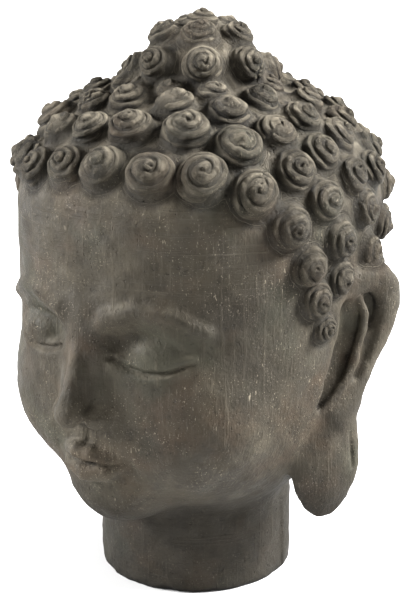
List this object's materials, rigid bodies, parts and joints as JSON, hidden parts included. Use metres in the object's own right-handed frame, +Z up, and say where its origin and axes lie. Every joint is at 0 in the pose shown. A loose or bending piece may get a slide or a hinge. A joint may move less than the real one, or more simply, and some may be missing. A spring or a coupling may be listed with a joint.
{
  "type": "buddha head statue",
  "caption": "Cast stone Buddha head with snail-shell curls, a low two-tier topknot and long ear lobes, standing on its cut neck.",
  "frame": {"origin": "centre of the flat underside of the neck", "axes": "+Z up, the face looks along -Y, and +X is towards the head's own left ear"},
  "size_m": [0.2692, 0.2896, 0.3999],
  "materials": {
    "stone": "matt, weathered"
  },
  "bodies": {
    "root": {"buddha_head": "stone"}
  },
  "joints": []
}
